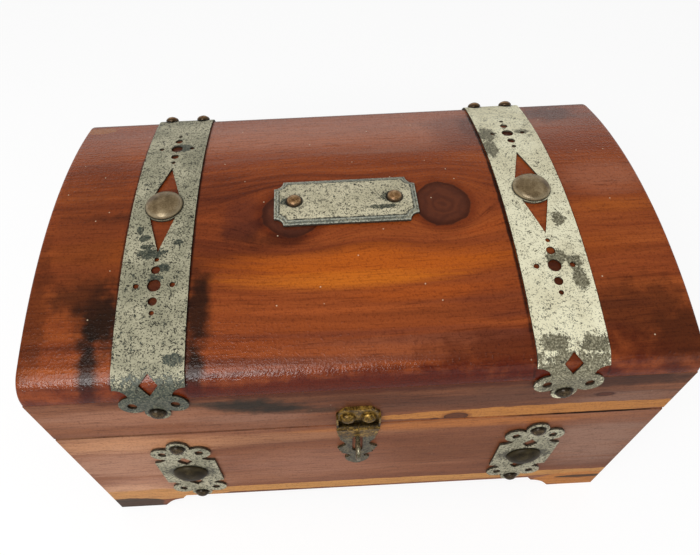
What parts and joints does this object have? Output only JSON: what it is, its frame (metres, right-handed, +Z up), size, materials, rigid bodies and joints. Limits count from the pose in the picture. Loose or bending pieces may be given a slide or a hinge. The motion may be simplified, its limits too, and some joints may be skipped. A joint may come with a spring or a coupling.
{
  "type": "keepsake chest",
  "caption": "Small cedar keepsake chest with a domed hinged lid, pierced metal straps, lobed corner plates, a bare name plate, bracket feet and a hanging hasp over a staple.",
  "frame": {"origin": "on the floor under the middle of the whole object", "axes": "+X to the right along the front, +Y from front to back, +Z up"},
  "size_m": [0.254, 0.1674, 0.1525],
  "materials": {
    "cedar_top": "gloss varnish over red cedar",
    "cedar_front": "satin varnish over red cedar with pale sapwood",
    "cedar_rail": "satin varnish over red cedar with pale sapwood",
    "cedar_back": "satin varnish over red cedar",
    "cedar_end": "satin varnish over red cedar",
    "cedar_panel": "bare cedar",
    "silvered_sheet": "worn silver finish, speckled",
    "silvered_plate": "worn silver finish, speckled",
    "bronze_stud": "aged bronze",
    "bronze_nail": "aged bronze",
    "hasp_brass": "tarnished",
    "hinge_brass": "tarnished",
    "staple_wire": "dull"
  },
  "bodies": {
    "base": {"base_front": "cedar_front", "base_back": "cedar_back", "base_left_end": "cedar_end", "base_right_end": "cedar_end", "base_bottom": "cedar_panel", "bracket_left": "silvered_sheet", "bracket_right": "silvered_sheet", "bracket_studs": "bronze_stud", "bracket_nails": "bronze_nail", "hasp_staple": "staple_wire", "hinge_left_base_leaf": "hinge_brass", "hinge_right_base_leaf": "hinge_brass", "base_hinge_nails": "hinge_brass"},
    "lid": {"lid_top": "cedar_top", "lid_front_rail": "cedar_rail", "lid_back_rail": "cedar_back", "lid_left_end": "cedar_end", "lid_right_end": "cedar_end", "strap_left": "silvered_sheet", "strap_right": "silvered_sheet", "strap_studs": "bronze_stud", "strap_front_nails": "bronze_nail", "strap_back_nails": "bronze_nail", "name_plate": "silvered_plate", "plate_nails": "bronze_nail", "hasp_leaf": "hasp_brass", "hasp_nails": "hasp_brass", "hasp_pin": "hasp_brass", "hinge_left_lid_leaf": "hinge_brass", "hinge_right_lid_leaf": "hinge_brass", "hinge_left_pin": "hinge_brass", "hinge_right_pin": "hinge_brass", "lid_hinge_nails": "hinge_brass"},
    "hasp": {"hasp_flap": "hasp_brass"}
  },
  "joints": [
    {"name": "lid_hinge", "type": "hinge", "parent": "base", "child": "lid", "pos_m": [0, 0.0821, 0.0947], "axis": [-1, 0, 0], "range_deg": [0, 100]},
    {"name": "hasp_hinge", "type": "hinge", "parent": "lid", "child": "hasp", "pos_m": [-0.001, -0.0767, 0.0965], "axis": [-1, 0, 0], "range_deg": [0, 150]}
  ]
}
